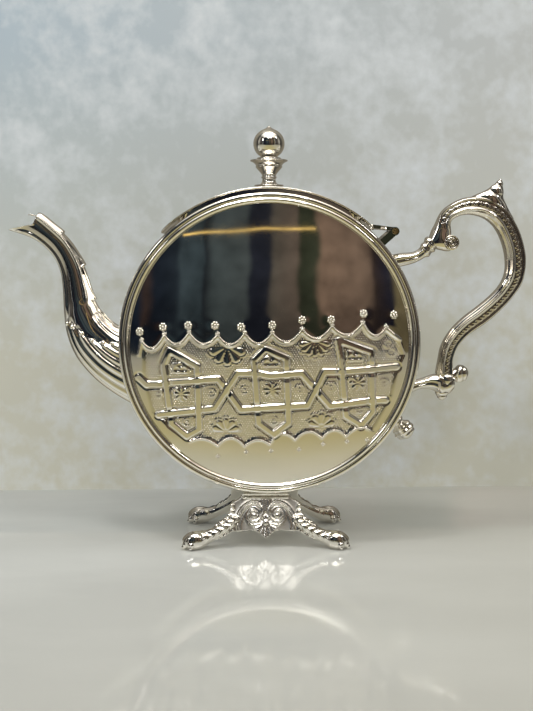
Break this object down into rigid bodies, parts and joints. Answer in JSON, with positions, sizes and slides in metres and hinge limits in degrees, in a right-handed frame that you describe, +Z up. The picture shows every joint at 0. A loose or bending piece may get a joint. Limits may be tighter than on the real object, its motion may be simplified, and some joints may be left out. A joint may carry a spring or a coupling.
{
  "type": "drum teapot",
  "caption": "Flat round silver teapot on scroll feet, with a hinged lid, turned finial, cast spout, cast scroll handle and a pressed interlace band.",
  "frame": {"origin": "table plane under the pot, at the middle of its box", "axes": "+X from the spout towards the handle, +Y from the front disc to the rear disc, +Z up"},
  "size_m": [0.317, 0.0756, 0.2539],
  "materials": {
    "polished_sheet": "mirror-polished silver plate on rolled and pressed sheet, with fine hairlines",
    "turned_silver": "polished silver plate on turned metal",
    "cast_silver": "silver plate on castings, bright on the high places and darker in the recesses",
    "plain_brass": "thinly plated brass, satin"
  },
  "bodies": {
    "pot": {"drum_band": "polished_sheet", "front_disc": "polished_sheet", "rear_disc": "polished_sheet", "front_rim": "polished_sheet", "rear_rim": "polished_sheet", "mouth_collar": "polished_sheet", "spout_front_half": "cast_silver", "spout_rear_half": "cast_silver", "handle_upper_arm": "cast_silver", "handle_grip": "cast_silver", "handle_lower_arm": "cast_silver", "leaf_drop": "cast_silver", "front_foot": "cast_silver", "rear_foot": "cast_silver", "hinge_bracket": "cast_silver", "hinge_pin": "plain_brass"},
    "lid": {"lid_cover": "polished_sheet", "lid_skirt": "polished_sheet", "finial_baluster": "turned_silver", "finial_ball": "turned_silver", "finial_stud": "plain_brass", "finial_washer": "plain_brass", "finial_nut": "plain_brass", "hinge_lid_leaf": "cast_silver"}
  },
  "joints": [
    {"name": "lid_hinge", "type": "hinge", "parent": "pot", "child": "lid", "pos_m": [0.07625, 0, 0.18995], "axis": [0, 1, 0], "range_deg": [0, 110]}
  ]
}
